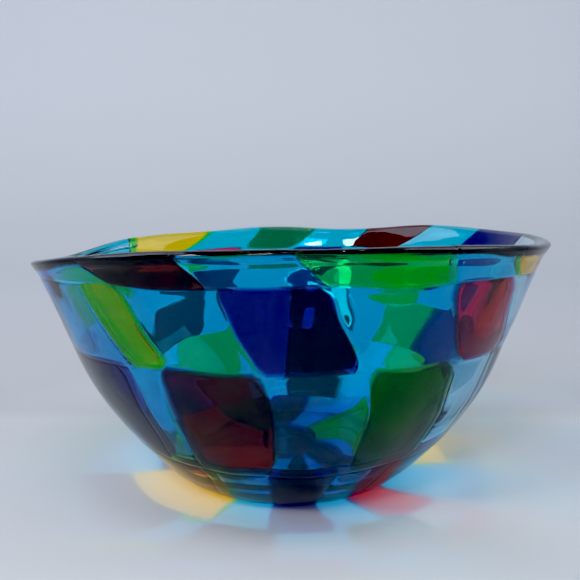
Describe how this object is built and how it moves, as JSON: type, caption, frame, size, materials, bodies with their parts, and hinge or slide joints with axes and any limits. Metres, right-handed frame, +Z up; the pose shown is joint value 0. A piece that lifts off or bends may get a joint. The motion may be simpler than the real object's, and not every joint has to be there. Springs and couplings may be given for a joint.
{
  "type": "glass bowl",
  "caption": "Flared patchwork bowl of coloured transparent glass squares fused edge to edge, with a wavy fire-polished lip and a flat foot.",
  "frame": {"origin": "centre of the flat foot, on the table", "axes": "+Z up out of the open mouth, -Y towards the front of the bowl"},
  "size_m": [0.2381, 0.2378, 0.1196],
  "materials": {
    "aqua_glass": "fire-polished, transparent, aqua",
    "cobalt_glass": "fire-polished, transparent, cobalt",
    "green_glass": "fire-polished, transparent, green",
    "deep_green_glass": "fire-polished, transparent, deep green",
    "yellow_glass": "fire-polished, transparent, yellow",
    "ruby_glass": "fire-polished, transparent, ruby",
    "deep_ruby_glass": "fire-polished, transparent, deep ruby",
    "amethyst_glass": "fire-polished, transparent, amethyst",
    "clear_glass": "fire-polished, transparent, clear"
  },
  "bodies": {
    "root": {"base_disc": "cobalt_glass", "foot_square_01": "aqua_glass", "foot_square_02": "cobalt_glass", "foot_square_03": "aqua_glass", "foot_square_04": "ruby_glass", "foot_square_05": "aqua_glass", "foot_square_06": "yellow_glass", "foot_square_07": "aqua_glass", "foot_square_08": "amethyst_glass", "foot_square_09": "aqua_glass", "foot_square_10": "green_glass", "foot_square_11": "aqua_glass", "foot_square_12": "yellow_glass", "lower_square_01": "aqua_glass", "lower_square_02": "deep_green_glass", "lower_square_03": "clear_glass", "lower_square_04": "aqua_glass", "lower_square_05": "cobalt_glass", "lower_square_06": "green_glass", "lower_square_07": "aqua_glass", "lower_square_08": "amethyst_glass", "lower_square_09": "aqua_glass", "lower_square_10": "amethyst_glass", "lower_square_11": "aqua_glass", "lower_square_12": "cobalt_glass", "lower_square_13": "aqua_glass", "lower_square_14": "amethyst_glass", "rim_square_01": "aqua_glass", "rim_square_02": "green_glass", "rim_square_03": "aqua_glass", "rim_square_04": "yellow_glass", "rim_square_05": "clear_glass", "rim_square_06": "cobalt_glass", "rim_square_07": "aqua_glass", "rim_square_08": "deep_ruby_glass", "rim_square_09": "aqua_glass", "rim_square_10": "deep_green_glass", "rim_square_11": "aqua_glass", "rim_square_12": "yellow_glass", "rim_square_13": "aqua_glass", "rim_square_14": "aqua_glass", "rim_square_15": "deep_ruby_glass", "sole_square_01": "aqua_glass", "sole_square_02": "cobalt_glass", "sole_square_03": "ruby_glass", "upper_square_01": "cobalt_glass", "upper_square_02": "aqua_glass", "upper_square_03": "ruby_glass", "upper_square_04": "clear_glass", "upper_square_05": "aqua_glass", "upper_square_06": "yellow_glass", "upper_square_07": "aqua_glass", "upper_square_08": "cobalt_glass", "upper_square_09": "aqua_glass", "upper_square_10": "ruby_glass", "upper_square_11": "aqua_glass", "upper_square_12": "green_glass", "upper_square_13": "aqua_glass", "upper_square_14": "yellow_glass", "upper_square_15": "aqua_glass"}
  },
  "joints": []
}
